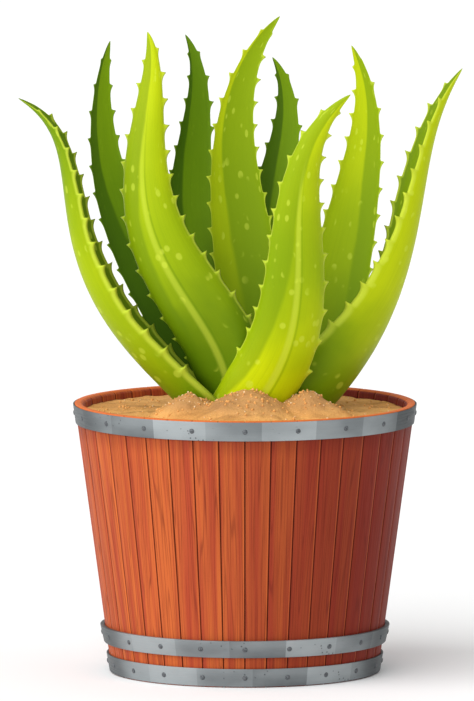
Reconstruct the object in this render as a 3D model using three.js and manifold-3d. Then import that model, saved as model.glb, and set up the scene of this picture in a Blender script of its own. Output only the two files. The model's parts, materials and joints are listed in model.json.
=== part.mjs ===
// A potted aloe: nine toothed leaves on a short stem, in soil, in a tapered tub of wooden staves
// held by three riveted hoops. Millimetres, +Z up, origin at the centre of the tub's foot, front at -Y.
import * as THREE from 'three';
import { mergeVertices } from 'three/addons/utils/BufferGeometryUtils.js';
import Module from 'manifold-3d';

const wasm = await Module();
wasm.setup();

// ---- driving sizes -------------------------------------------------------------------------------
const CLEARANCE = 0.4; // gap kept between pieces that touch

const TUB_HEIGHT = 284;
const FOOT_RADIUS = 140.4; // outside of the staves at the foot
const RIM_RADIUS = 179; // outside of the staves at the rim
const STAVE_COUNT = 40;
const STAVE_THICKNESS = 9.5;
const SEAM = 0.3; // gap between neighbouring staves
const RIM_CHAMFER = 3; // bevel on the inner edge of the rim

const BOARD_THICKNESS = 12;
const BOARD_RECESS = 12; // from the tub's foot up to the underside of the boards
const GROOVE_DEPTH = 4; // cut into the staves for the boards
const DRAIN_GAP = 3; // between neighbouring boards

const HOOP_FROM_RIM = 1; // top hoop's upper edge below the rim
const TOP_HOOP_WIDTH = 20;
const MIDDLE_HOOP_HEIGHT = 32; // lower edge of the middle hoop
const MIDDLE_HOOP_WIDTH = 18;
const BOTTOM_HOOP_HEIGHT = 1; // lower edge of the bottom hoop
const BOTTOM_HOOP_WIDTH = 19;
const RIVETS_PER_HOOP = 20;
const RIVET_RADIUS = 2.6;
const RIVET_RISE = 1.2;
const RIVET_SIDES = 6;

const SOIL_DEPTH_BELOW_RIM = 9;
const SOIL_RINGS = 10;
const SOIL_SWELL = 4; // broad rise of the soil towards the middle
const SOIL_SWELL_SPREAD = 70;

const STEM_RADIUS = 28;
const STEM_HEIGHT = 66;
const STEM_TOP_BELOW_RIM = 26;

const TOOTH_HEIGHT = 4;
const TOOTH_START = 0.16; // along the leaf, as a share of its length
const TOOTH_END = 0.96;

// ---- materials -----------------------------------------------------------------------------------
const FINISHES = {
  wood: { color: 0xb4522f, roughness: 0.62, metalness: 0 },
  wood_inside: { color: 0x93391f, roughness: 0.75, metalness: 0 },
  iron: { color: 0x7f8a90, roughness: 0.5, metalness: 0.7 },
  soil: { color: 0xc7935a, roughness: 0.95, metalness: 0 },
  stem: { color: 0x8a9a4a, roughness: 0.6, metalness: 0 },
  leaf_bright: { color: 0xa5cc0c, roughness: 0.38, metalness: 0 },
  leaf_dark: { color: 0x447d16, roughness: 0.42, metalness: 0 },
};

const plant = new THREE.Group();

function addPiece(name, geometry, finish) {
  const piece = new THREE.Mesh(geometry, new THREE.MeshStandardMaterial(FINISHES[finish]));
  piece.name = name;
  plant.add(piece);
  return piece;
}

// ---- solids --------------------------------------------------------------------------------------
function indexedGeometry(positions, indices) {
  const geometry = new THREE.BufferGeometry();
  geometry.setAttribute('position', new THREE.Float32BufferAttribute(positions, 3));
  geometry.setIndex(indices);
  return geometry;
}

function merged(geometry) {
  geometry.deleteAttribute('normal');
  geometry.deleteAttribute('uv');
  return mergeVertices(geometry, 1e-4);
}

function toSolid(geometry) {
  const mesh = new wasm.Mesh({
    numProp: 3,
    vertProperties: new Float32Array(geometry.attributes.position.array),
    triVerts: new Uint32Array(geometry.index.array),
  });
  return new wasm.Manifold(mesh);
}

function toGeometry(solid) {
  const mesh = solid.getMesh();
  return indexedGeometry(Array.from(mesh.vertProperties), Array.from(mesh.triVerts));
}

function largestBody(solid) {
  const bodies = solid.decompose();
  bodies.sort((a, b) => b.volume() - a.volume());
  return bodies[0];
}

// A profile of [radius, height] turned a full circle about the Z axis, with a facet edge at the front.
function turned(profile, facets) {
  const points = profile.map(([radius, height]) => new THREE.Vector2(radius, height));
  const geometry = new THREE.LatheGeometry(points, facets);
  geometry.rotateX(Math.PI / 2);
  return merged(geometry);
}

// ---- tub -----------------------------------------------------------------------------------------
const STAVE_ANGLE = (2 * Math.PI) / STAVE_COUNT;
const FRONT = -Math.PI / 2;

function outerRadius(height) {
  return THREE.MathUtils.lerp(FOOT_RADIUS, RIM_RADIUS, height / TUB_HEIGHT);
}

function innerRadius(height) {
  return outerRadius(height) - STAVE_THICKNESS;
}

// The stave's section up the wall: straight outside, bevelled rim, and a groove that takes the boards.
function staveProfile() {
  const grooveBottom = BOARD_RECESS - CLEARANCE;
  const grooveTop = BOARD_RECESS + BOARD_THICKNESS + CLEARANCE;
  return [
    [outerRadius(0), 0],
    [outerRadius(TUB_HEIGHT), TUB_HEIGHT],
    [innerRadius(TUB_HEIGHT) + RIM_CHAMFER, TUB_HEIGHT],
    [innerRadius(TUB_HEIGHT - RIM_CHAMFER), TUB_HEIGHT - RIM_CHAMFER],
    [innerRadius(grooveTop), grooveTop],
    [innerRadius(grooveTop) + GROOVE_DEPTH, grooveTop],
    [innerRadius(grooveBottom) + GROOVE_DEPTH, grooveBottom],
    [innerRadius(grooveBottom), grooveBottom],
    [innerRadius(0), 0],
  ];
}

// A profile carried through a stave's angle in one flat facet, with side faces parallel to its seams.
function staveGeometry(profile, startAngle) {
  const positions = [];
  for (const side of [0, 1]) {
    for (const [radius, height] of profile) {
      const inset = Math.asin(SEAM / 2 / radius) * (1 - 2 * side);
      const angle = startAngle + side * STAVE_ANGLE + inset;
      positions.push(radius * Math.cos(angle), radius * Math.sin(angle), height);
    }
  }
  const count = profile.length;
  const indices = [];
  for (let i = 0; i < count; i += 1) {
    const next = (i + 1) % count;
    indices.push(i, i + count, next);
    indices.push(next, i + count, next + count);
  }
  const outline = profile.map(([radius, height]) => new THREE.Vector2(radius, height));
  for (const [a, b, c] of THREE.ShapeUtils.triangulateShape(outline, [])) {
    indices.push(a, b, c);
    indices.push(c + count, b + count, a + count);
  }
  return indexedGeometry(positions, indices);
}

function addStaves() {
  const profile = staveProfile();
  for (let i = 0; i < STAVE_COUNT; i += 1) {
    const name = `stave_${String(i + 1).padStart(2, '0')}`;
    addPiece(name, staveGeometry(profile, FRONT + i * STAVE_ANGLE), 'wood');
  }
}

// A board is the strip of the base circle between two straight edges.
function boardGeometry(radius, left, right) {
  const shape = new THREE.Shape();
  const rightAngle = Math.acos(Math.min(1, right / radius));
  const leftAngle = Math.acos(Math.max(-1, left / radius));
  shape.absarc(0, 0, radius, rightAngle, leftAngle, false);
  shape.absarc(0, 0, radius, -leftAngle, -rightAngle, false);
  const geometry = new THREE.ExtrudeGeometry(shape, {
    depth: BOARD_THICKNESS,
    bevelEnabled: false,
    curveSegments: 8,
  });
  geometry.translate(0, 0, BOARD_RECESS);
  return merged(geometry);
}

function addBoards() {
  // The groove's floor is flat across each stave, so it is nearest at the stave's middle.
  const flat = Math.cos(Math.PI / STAVE_COUNT);
  const radius = (innerRadius(BOARD_RECESS) + GROOVE_DEPTH) * flat - CLEARANCE;
  const middle = radius / 3;
  const half = DRAIN_GAP / 2;
  addPiece('base_board_left', boardGeometry(radius, -radius, -middle - half), 'wood_inside');
  addPiece('base_board_middle', boardGeometry(radius, -middle + half, middle - half), 'wood_inside');
  addPiece('base_board_right', boardGeometry(radius, middle + half, radius), 'wood_inside');
}

// ---- hoops ---------------------------------------------------------------------------------------
function rivetSolid() {
  const sunk = -0.8;
  const profile = [
    [0, sunk],
    [RIVET_RADIUS, sunk],
    [RIVET_RADIUS, 0.2],
    [RIVET_RADIUS * 0.6, RIVET_RISE * 0.85],
    [0, RIVET_RISE],
  ];
  return toSolid(turned(profile, RIVET_SIDES));
}

// A strap that follows the staves' slope, standing out by one thickness below and another above.
function hoopGeometry(bottom, width, thicknessBelow, thicknessAbove) {
  const top = bottom + width;
  const inside = [outerRadius(bottom) + CLEARANCE, outerRadius(top) + CLEARANCE];
  const outside = [inside[0] + thicknessBelow, inside[1] + thicknessAbove];
  const strap = [
    [inside[0], bottom],
    [outside[0], bottom],
    [outside[1], top],
    [inside[1], top],
    [inside[0], bottom],
  ];
  let hoop = toSolid(turned(strap, STAVE_COUNT));
  const tilt = THREE.MathUtils.radToDeg(Math.atan2(outside[1] - outside[0], width));
  const seat = (outside[0] + outside[1]) / 2;
  for (let i = 0; i < RIVETS_PER_HOOP; i += 1) {
    const around = (360 * i) / RIVETS_PER_HOOP;
    const rivet = rivetSolid().rotate([0, 90 + tilt, 0]).translate([seat, 0, bottom + width / 2]);
    hoop = hoop.add(rivet.rotate([0, 0, around - 90]));
  }
  return toGeometry(hoop);
}

function addHoops() {
  const topHoop = TUB_HEIGHT - HOOP_FROM_RIM - TOP_HOOP_WIDTH;
  addPiece('hoop_top', hoopGeometry(topHoop, TOP_HOOP_WIDTH, 1.4, 1.4), 'iron');
  addPiece('hoop_middle', hoopGeometry(MIDDLE_HOOP_HEIGHT, MIDDLE_HOOP_WIDTH, 3, 4.6), 'iron');
  addPiece('hoop_bottom', hoopGeometry(BOTTOM_HOOP_HEIGHT, BOTTOM_HOOP_WIDTH, 1.6, 2.2), 'iron');
}

// ---- stem and leaves -----------------------------------------------------------------------------
const STEM_TOP = TUB_HEIGHT - STEM_TOP_BELOW_RIM;

function stemGeometry(grow) {
  const bottom = STEM_TOP - STEM_HEIGHT;
  return turned([
    [0, bottom - grow],
    [STEM_RADIUS * 0.7 + grow, bottom - grow],
    [STEM_RADIUS + grow, bottom + STEM_HEIGHT * 0.6],
    [STEM_RADIUS * 0.8 + grow, STEM_TOP + grow],
    [0, STEM_TOP + grow],
  ], 20);
}

// Each leaf runs through five places: its foot on the stem, three along its length, and its tip.
// Heights are counted from the tub's rim. width is at the leaf's broadest, keel is the depth of the
// rounded back and channel the depth of the hollow face, both as shares of the half width, and face
// is the direction in plan, in degrees from +X, that the hollow face looks to at the foot and, from
// FACE_SETTLED along the leaf, up to its tip.
const FACE_SETTLED = 0.8;
const LEAVES = [
  {
    name: 'leaf_front', finish: 'leaf_bright', width: 75, keel: 0.55, channel: 0.15, teeth: 11,
    face: [90, 90],
    path: [[-31, -26, -26], [37, -62, 66], [53, -92, 162], [61, -112, 256], [110, -122, 336]],
  },
  {
    name: 'leaf_front_left', finish: 'leaf_bright', width: 80, keel: 0.5, channel: 0.15, teeth: 13,
    face: [75, 75],
    path: [[-12, -18, -22], [-40, -38, 92], [-92, -48, 185], [-102, -42, 290], [-102, -25, 393]],
  },
  {
    name: 'leaf_left', finish: 'leaf_bright', width: 78, keel: 0.85, channel: 0.45, teeth: 13,
    face: [8, -4],
    path: [[-14, -4, -22], [-80, -18, 57], [-146, -32, 146], [-176, -45, 246], [-237, -55, 326]],
  },
  {
    name: 'leaf_right', finish: 'leaf_bright', width: 86, keel: 0.9, channel: 0.45, teeth: 13,
    face: [150, 195],
    path: [[12, 2, -22], [91, 10, 56], [143, 28, 149], [176, 45, 251], [229, 60, 347]],
  },
  {
    name: 'leaf_right_back', finish: 'leaf_bright', width: 74, keel: 0.5, channel: 0.2, teeth: 12,
    face: [-105, -105],
    path: [[16, 16, -22], [80, 42, 68], [108, 58, 170], [126, 64, 271], [112, 60, 371]],
  },
  {
    name: 'leaf_centre', finish: 'leaf_bright', width: 74, keel: 0.5, channel: 0.2, teeth: 13,
    face: [-90, -90],
    path: [[6, 18, -20], [8, 42, 95], [-7, 62, 199], [-8, 74, 303], [37, 80, 400]],
  },
  {
    name: 'leaf_back_left', finish: 'leaf_dark', width: 62, keel: 0.5, channel: 0.2, teeth: 12,
    face: [-70, -70],
    path: [[-18, 16, -22], [-74, 44, 86], [-123, 72, 174], [-149, 92, 270], [-142, 104, 372]],
  },
  {
    name: 'leaf_back', finish: 'leaf_dark', width: 66, keel: 0.5, channel: 0.2, teeth: 12,
    face: [-80, -80],
    path: [[-8, 22, -22], [-32, 52, 97], [-55, 84, 190], [-51, 108, 283], [-63, 122, 377]],
  },
  {
    name: 'leaf_back_right', finish: 'leaf_dark', width: 66, keel: 0.5, channel: 0.2, teeth: 11,
    face: [-95, -95],
    path: [[8, 24, -22], [17, 66, 91], [25, 102, 177], [42, 128, 265], [29, 142, 351]],
  },
];

// One smooth curve through evenly spaced places, by Lagrange's formula.
class LeafLine extends THREE.Curve {
  constructor(places) {
    super();
    this.places = places.map(([x, y, z]) => new THREE.Vector3(x, y, z + TUB_HEIGHT));
  }

  getPoint(t) {
    const last = this.places.length - 1;
    const point = new THREE.Vector3();
    this.places.forEach((place, i) => {
      let share = 1;
      for (let j = 0; j <= last; j += 1) {
        if (j !== i) share *= (t * last - j) / (i - j);
      }
      point.addScaledVector(place, share);
    });
    return point;
  }
}

// Half the leaf's width along its length: full just above the foot, drawn to a point at the tip.
function halfWidth(leaf, t) {
  const foot = 0.7 + 0.3 * THREE.MathUtils.smoothstep(t, 0, 0.14);
  return (leaf.width / 2) * foot * (1 - t) ** 0.68 * (1 + t * (1 - t));
}

// Places along the leaf where its section is drawn: three for each tooth, which leans to the tip.
function leafStations(leaf) {
  const stations = [];
  for (const t of [0, 0.04, 0.08, 0.12]) stations.push({ t, tooth: 0 });
  const pitch = (TOOTH_END - TOOTH_START) / leaf.teeth;
  for (let i = 0; i < leaf.teeth; i += 1) {
    const start = TOOTH_START + i * pitch;
    stations.push({ t: start, tooth: 0 });
    stations.push({ t: start + 0.55 * pitch, tooth: 1 });
    stations.push({ t: start + 0.7 * pitch, tooth: 0 });
  }
  stations.push({ t: 0.985, tooth: 0 });
  return stations;
}

// The section is a crescent between two half ellipses, from margin to margin and back.
const SECTION = [
  { turn: 90, side: 0 },
  { turn: 45, side: 1 },
  { turn: 0, side: 1 },
  { turn: -45, side: 1 },
  { turn: -90, side: 0 },
  { turn: -45, side: -1 },
  { turn: 0, side: -1 },
  { turn: 45, side: -1 },
];

// The leaf's place and directions at t: along its length, out of its hollow face, and across it.
function leafFrame(leaf, line, t) {
  const turned = THREE.MathUtils.smoothstep(t, 0, FACE_SETTLED);
  const faceAngle = THREE.MathUtils.degToRad(THREE.MathUtils.lerp(...leaf.face, turned));
  const face = new THREE.Vector3(Math.cos(faceAngle), Math.sin(faceAngle), 0);
  const centre = line.getPoint(t);
  const along = line.getTangent(t);
  const normal = face.addScaledVector(along, -face.dot(along)).normalize();
  const across = new THREE.Vector3().crossVectors(normal, along);
  return { centre, along, normal, across };
}

// With grow above nothing this is the room the leaf needs: larger all round, its hollow filled in.
function leafGeometry(leaf, grow) {
  const line = new LeafLine(leaf.path);
  const channel = grow > 0 ? 0 : leaf.channel;
  const positions = [];
  for (const { t, tooth } of leafStations(leaf)) {
    const { centre, normal, across } = leafFrame(leaf, line, t);
    const half = halfWidth(leaf, t);
    const reach = tooth * TOOTH_HEIGHT * Math.min(1, half / 12 + 0.3);
    for (const { turn, side } of SECTION) {
      const angle = THREE.MathUtils.degToRad(turn);
      const depth = side > 0 ? channel * half : leaf.keel * half;
      const margin = side === 0 ? reach + 2 * grow : grow;
      const out = half * Math.sin(angle) + Math.sign(turn) * margin;
      const drop = side === 0 ? 0 : 1.5 * side * grow - depth * Math.cos(angle);
      const point = centre.clone().addScaledVector(across, out).addScaledVector(normal, drop);
      positions.push(point.x, point.y, point.z);
    }
  }
  const foot = leafFrame(leaf, line, 0);
  const middle = ((channel + leaf.keel) / 2) * halfWidth(leaf, 0);
  const start = foot.centre.addScaledVector(foot.normal, -middle).addScaledVector(foot.along, -grow);
  const end = line.getPoint(1).addScaledVector(line.getTangent(1), grow);
  return closedSweep(positions, SECTION.length, start, end);
}

// Rings of equal count joined in order, closed by a point at each end.
function closedSweep(positions, count, start, end) {
  const rings = positions.length / 3 / count;
  const startIndex = rings * count;
  const indices = [];
  for (let i = 0; i < count; i += 1) {
    const next = (i + 1) % count;
    for (let ring = 0; ring < rings - 1; ring += 1) {
      const here = ring * count;
      indices.push(here + i, here + next, here + count + i);
      indices.push(here + next, here + count + next, here + count + i);
    }
    indices.push(startIndex, next, i);
    indices.push(startIndex + 1, startIndex - count + i, startIndex - count + next);
  }
  const ends = [start.x, start.y, start.z, end.x, end.y, end.z];
  return indexedGeometry([...positions, ...ends], indices);
}

// A leaf gives way to the stem and to the leaves before it in the list, with the clearance between.
function addLeavesAndStem() {
  addPiece('stem', stemGeometry(0), 'stem');
  const taken = [toSolid(stemGeometry(CLEARANCE))];
  for (const leaf of LEAVES) {
    let solid = toSolid(leafGeometry(leaf, 0));
    for (const other of taken) {
      solid = solid.subtract(other);
    }
    solid = largestBody(solid);
    addPiece(leaf.name, toGeometry(solid), leaf.finish);
    taken.push(toSolid(leafGeometry(leaf, CLEARANCE)));
  }
  return taken;
}

// ---- soil ----------------------------------------------------------------------------------------
// Heaps drawn up in front of the leaves: place of the peak, height, and reach of the foot.
const HEAPS = [
  { x: 2, y: -76, height: 26, reach: 62 },
  { x: -58, y: -60, height: 21, reach: 36 },
  { x: 66, y: -62, height: 23, reach: 42 },
];
const HEAP_ROUNDING = 8; // softens the peak of a heap

function soilHeight(x, y) {
  let height = TUB_HEIGHT - SOIL_DEPTH_BELOW_RIM;
  height += SOIL_SWELL * Math.exp(-(x * x + y * y) / (2 * SOIL_SWELL_SPREAD ** 2));
  const rises = HEAPS.map((heap) => {
    const distance = Math.hypot(x - heap.x, y - heap.y, HEAP_ROUNDING);
    return heap.height * (1 + (HEAP_ROUNDING - distance) / heap.reach);
  });
  return height + Math.max(0, ...rises);
}

// Rings from the foot of the soil up its side and in across its top to the middle.
function soilGeometry() {
  const bottom = BOARD_RECESS + BOARD_THICKNESS + CLEARANCE;
  const edge = TUB_HEIGHT - SOIL_DEPTH_BELOW_RIM;
  const positions = [];
  const addRing = (radius, heightAt) => {
    for (let i = 0; i < STAVE_COUNT; i += 1) {
      const x = radius * Math.cos(FRONT + i * STAVE_ANGLE);
      const y = radius * Math.sin(FRONT + i * STAVE_ANGLE);
      positions.push(x, y, heightAt(x, y));
    }
  };
  addRing(innerRadius(bottom) - CLEARANCE, () => bottom);
  for (let ring = 0; ring < SOIL_RINGS; ring += 1) {
    addRing((innerRadius(edge) - CLEARANCE) * (1 - ring / SOIL_RINGS), soilHeight);
  }
  const foot = new THREE.Vector3(0, 0, bottom);
  const middle = new THREE.Vector3(0, 0, soilHeight(0, 0));
  return closedSweep(positions, STAVE_COUNT, foot, middle);
}

function addSoil(taken) {
  let solid = toSolid(soilGeometry());
  for (const other of taken) {
    solid = solid.subtract(other);
  }
  addPiece('soil', toGeometry(largestBody(solid)), 'soil');
}

addStaves();
addBoards();
addHoops();
addSoil(addLeavesAndStem());

export default plant;
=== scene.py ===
"""A potted aloe: toothed leaves rising from soil in a tapered tub of staves with riveted hoops."""

import json
import math

import bpy
import numpy as np
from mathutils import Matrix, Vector


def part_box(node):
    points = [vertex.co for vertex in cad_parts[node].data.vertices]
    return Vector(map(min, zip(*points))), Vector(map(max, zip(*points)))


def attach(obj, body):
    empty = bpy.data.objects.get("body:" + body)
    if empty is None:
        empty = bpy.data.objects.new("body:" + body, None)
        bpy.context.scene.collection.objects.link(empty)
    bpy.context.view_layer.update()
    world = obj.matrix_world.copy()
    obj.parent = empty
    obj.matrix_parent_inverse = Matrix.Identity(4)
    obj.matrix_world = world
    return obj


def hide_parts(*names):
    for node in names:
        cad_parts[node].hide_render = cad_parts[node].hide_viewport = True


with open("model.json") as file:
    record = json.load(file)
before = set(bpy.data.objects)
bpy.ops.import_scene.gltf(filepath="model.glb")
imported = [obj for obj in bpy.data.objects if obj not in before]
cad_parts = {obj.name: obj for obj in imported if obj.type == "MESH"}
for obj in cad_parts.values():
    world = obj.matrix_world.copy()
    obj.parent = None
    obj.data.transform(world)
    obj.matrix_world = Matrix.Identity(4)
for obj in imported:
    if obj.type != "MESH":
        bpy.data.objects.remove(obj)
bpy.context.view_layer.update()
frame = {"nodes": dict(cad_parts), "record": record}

bl_info = {
    "name": "Potted aloe",
    "version": (1, 0, 0),
    "blender": (4, 5, 0),
    "location": "3D View > Sidebar > Aloe",
    "description": "Builds the finished surfaces of a potted aloe around its frame",
    "category": "Object",
}

MM = 0.001
SEED = 7
FRONT = -math.pi / 2  # the direction in plan that faces the camera
FIT_GAP = 0.4 * MM  # clearance between pieces that touch
LONG_SIDE = 40 * MM  # a section's side longer than this is divided into SIDE_PARTS
SIDE_PARTS = 10

# Sizes that the frame gives.
STAVES = sorted(name for name in frame["nodes"] if name.startswith("stave_"))
BOARDS = sorted(name for name in frame["nodes"] if name.startswith("base_board_"))
TUB_HEIGHT = max(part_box(name)[1].z for name in STAVES)
RIM_RADIUS = max(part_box(name)[1].x for name in STAVES)
FOOT_RADIUS = math.hypot(*frame["record"]["mounts"][0]["pos_m"][:2])
STAVE_ANGLE = 2 * math.pi / len(STAVES)
STAVE_BREADTH = RIM_RADIUS * math.sin(STAVE_ANGLE / 2)  # half a stave's width at the rim
SOIL_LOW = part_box("soil")[0].z
BOARD_LOW, BOARD_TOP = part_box(BOARDS[0])[0].z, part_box(BOARDS[0])[1].z

# Each stave's grain has its own stretch of U, and starts further up V than its neighbour's.
STAVE_STRETCH = 0.1
GRAIN_SHIFT = 0.37


# ---- meshes --------------------------------------------------------------------------------------
def add_piece(name, points, faces, uvs, material, slot, nodes=()):
    """Makes a smooth piece of points and arrays of faces, with a UV for every face corner."""
    mesh = bpy.data.meshes.new(name)
    mesh.from_pydata(points.tolist(), [], [face for group in faces for face in group.tolist()])
    layer = mesh.uv_layers.new(name="Surface")
    layer.data.foreach_set("uv", np.asarray(uvs, np.float32).ravel())
    mesh.polygons.foreach_set("use_smooth", np.ones(len(mesh.polygons), bool))
    mesh.materials.append(material)
    mesh.update()
    piece = bpy.data.objects.new(name, mesh)
    bpy.context.scene.collection.objects.link(piece)
    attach(piece, "root")
    if nodes:
        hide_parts(*nodes)


def dress(node, material):
    """Puts a material on a CAD node in place of its own."""
    mesh = frame["nodes"][node].data
    mesh.materials.clear()
    mesh.materials.append(material)


def sweep(rings, table, ends=None, loop=False):
    """Joins rings of points into a tube: row i, column j is joined to row i+1, column j+1.

    rings is rows x columns x 3, and table holds the UV of every row at columns + 1 places, because
    the last column meets the first. ends are two points that close the tube with fans, "flat" for
    one face across each end, and loop joins the last row to the first instead. Gives the points, a
    list of arrays of faces, and the UV of every face corner.
    """
    rows, columns = rings.shape[:2]
    spans = rows if loop else rows - 1
    i, j = np.meshgrid(np.arange(spans), np.arange(columns), indexing="ij")
    i, j = i.ravel(), j.ravel()
    below, above = i * columns, ((i + 1) % rows) * columns
    right = (j + 1) % columns
    quads = np.stack([below + j, below + right, above + right, above + j], 1)
    uv = np.stack([table[i, j], table[i, j + 1], table[i + 1, j + 1], table[i + 1, j]], 1)
    points = rings.reshape(-1, 3)
    faces, corners = [quads], [uv.reshape(-1, 2)]
    ring = np.arange(columns)
    top = (rows - 1) * columns
    if isinstance(ends, str):
        faces += [ring[None, ::-1], top + ring[None]]
        corners += [table[0, :columns][::-1], table[-1, :columns]]
    elif ends is not None:
        points = np.vstack([points, np.asarray(ends)])
        start, end = len(points) - 2, len(points) - 1
        following = (ring + 1) % columns
        faces += [np.stack([np.full(columns, start), following, ring], 1)]
        faces += [np.stack([np.full(columns, end), top + ring, top + following], 1)]
        corners += [table[0, np.stack([ring, ring + 1, ring], 1)].reshape(-1, 2)]
        corners += [table[-1, np.stack([ring, ring, ring + 1], 1)].reshape(-1, 2)]
    return points, faces, np.vstack(corners)


def joined(parts):
    """Several (points, faces, uvs) as one, with the point numbers in the faces counted on."""
    points, faces, uvs = zip(*parts)
    starts = np.cumsum([0, *map(len, points[:-1])])
    shifted = [group + start for groups, start in zip(faces, starts) for group in groups]
    return np.vstack(points), shifted, np.vstack(uvs)


def smoothstep(x, low, high):
    """0 below low and 1 above high, by 3t^2 - 2t^3 between."""
    t = np.clip((x - low) / (high - low), 0, 1)
    return t * t * (3 - 2 * t)


def ripples(x, y, wavelength, seed, count=14):
    """A sum of sines in seeded random directions, with lengths near the one given, mostly within 1."""
    random = np.random.default_rng(seed)
    total = np.zeros_like(x)
    for _ in range(count):
        angle, phase = random.uniform(0, 2 * math.pi, 2)
        pitch = 2 * math.pi / (wavelength * random.uniform(0.6, 1.7))
        total += np.sin(pitch * (x * math.cos(angle) + y * math.sin(angle)) + phase)
    return total / count ** 0.5 / 1.6


def rounded_outline(corners, radii, steps=4):
    """A closed outline through corners, each rounded by a quadratic curve that starts one radius
    before it, (1-t)^2 a + 2t(1-t) b + t^2 c. Its long sides are divided evenly."""
    corners = np.asarray(corners, float)
    places = []
    for i, corner in enumerate(corners):
        before, after = corners[i - 1], corners[(i + 1) % len(corners)]
        a = corner + (before - corner) / np.linalg.norm(before - corner) * radii[i]
        c = corner + (after - corner) / np.linalg.norm(after - corner) * radii[i]
        t = np.linspace(0, 1, steps + 1)[:, None]
        places.append((1 - t) ** 2 * a + 2 * t * (1 - t) * corner + t ** 2 * c)
        reach = np.linalg.norm(after - corner)
        if reach > LONG_SIDE:
            d = after + (corner - after) / reach * radii[(i + 1) % len(corners)]
            places.append(c + np.linspace(0, 1, SIDE_PARTS + 1)[1:-1, None] * (d - c))
    return np.vstack(places)


# ---- materials -----------------------------------------------------------------------------------
class Value:
    """A shader socket: arithmetic on it adds Math nodes."""

    def __init__(self, finish, socket):
        self.finish = finish
        self.socket = socket

    def math(self, operation, *inputs):
        return self.finish.node("ShaderNodeMath", {"operation": operation}, dict(enumerate(inputs)))

    def __add__(self, other):
        return self.math("ADD", self, other)

    def __sub__(self, other):
        return self.math("SUBTRACT", self, other)

    def __rsub__(self, other):
        return self.math("SUBTRACT", other, self)

    def __mul__(self, other):
        return self.math("MULTIPLY", self, other)

    def __truediv__(self, other):
        return self.math("DIVIDE", self, other)

    def __rtruediv__(self, other):
        return self.math("DIVIDE", other, self)

    def __pow__(self, other):
        return self.math("POWER", self, other)

    __radd__ = __add__
    __rmul__ = __mul__

    def distance_from(self, other):
        return self.math("ABSOLUTE", self - other)

    def fraction(self):
        return self.math("FRACT", self)

    def floor(self):
        return self.math("FLOOR", self)

    def sine(self):
        return self.math("SINE", self)

    def step(self, low, high, start=0.0, end=1.0):
        """Smoothly from start, below low, to end, above high."""
        settings = {"interpolation_type": "SMOOTHSTEP"}
        inputs = {"Value": self, "From Min": low, "From Max": high, "To Min": start, "To Max": end}
        return self.finish.node("ShaderNodeMapRange", settings, inputs)


class Finish:
    """A material under construction, around one Principled shader."""

    def __init__(self, name):
        self.material = bpy.data.materials.new(name)
        self.material.use_nodes = True
        self.tree = self.material.node_tree
        self.shader = self.tree.nodes["Principled BSDF"]

    def node(self, kind, settings=None, inputs=None, output=0):
        """Adds a node, with its settings set first, and then its inputs."""
        node = self.tree.nodes.new(kind)
        for key, value in (settings or {}).items():
            setattr(node, key, value)
        for key, value in (inputs or {}).items():
            self.feed(node.inputs[key], value)
        return Value(self, node.outputs[output])

    def feed(self, socket, value):
        """Links a value to a socket, or sets the socket to a number or a colour."""
        if isinstance(value, Value):
            self.tree.links.new(value.socket, socket)
        elif isinstance(value, tuple) and len(value) == 3 and socket.type == "RGBA":
            socket.default_value = (*value, 1.0)
        else:
            socket.default_value = value

    def mix(self, factor, first, second):
        """The colour first where factor is 0, and second where it is 1."""
        return self.node("ShaderNodeMix", {"data_type": "RGBA"}, {0: factor, 6: first, 7: second}, 2)

    def surface(self):
        """The piece's UV as two values."""
        uv = self.node("ShaderNodeUVMap", {"uv_map": "Surface"})
        return self.parts(uv)[:2]

    def place(self):
        """The place on the object, as X, Y and Z."""
        return self.parts(self.node("ShaderNodeTexCoord", output=3))

    def parts(self, vector):
        """A vector's three numbers."""
        split = self.node("ShaderNodeSeparateXYZ", inputs={0: vector})
        return [Value(self, socket) for socket in split.socket.node.outputs]

    def chance(self, number):
        """A random value from 0 to 1 that is its own for each whole number."""
        return self.node("ShaderNodeTexWhiteNoise", {"noise_dimensions": "1D"}, {"W": number})

    def at(self, x, y, z=0.0):
        """Three numbers as a vector."""
        return self.node("ShaderNodeCombineXYZ", inputs={0: x, 1: y, 2: z})

    def noise(self, vector, scale, detail=3.0, roughness=0.5):
        """Cloudy noise, around 0.5."""
        inputs = {"Vector": vector, "Scale": scale, "Detail": detail, "Roughness": roughness}
        return self.node("ShaderNodeTexNoise", inputs=inputs)

    def spots(self, vector, scale, randomness=1.0):
        """The distance to the nearest of many scattered points."""
        inputs = {"Vector": vector, "Scale": scale, "Randomness": randomness}
        return self.node("ShaderNodeTexVoronoi", inputs=inputs)

    def bump(self, height, distance, strength):
        """Raises the surface where height is large."""
        inputs = {"Height": height, "Distance": distance, "Strength": strength}
        self.feed(self.shader.inputs["Normal"], self.node("ShaderNodeBump", inputs=inputs))

    def finish(self, **sockets):
        """Sets the shader's sockets, named with _ for a space, and gives the material."""
        for key, value in sockets.items():
            self.feed(self.shader.inputs[key.replace("_", " ")], value)
        return self.material


def shaded(colour, share):
    """A colour made lighter or darker."""
    return tuple(share * part for part in colour)


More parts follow.
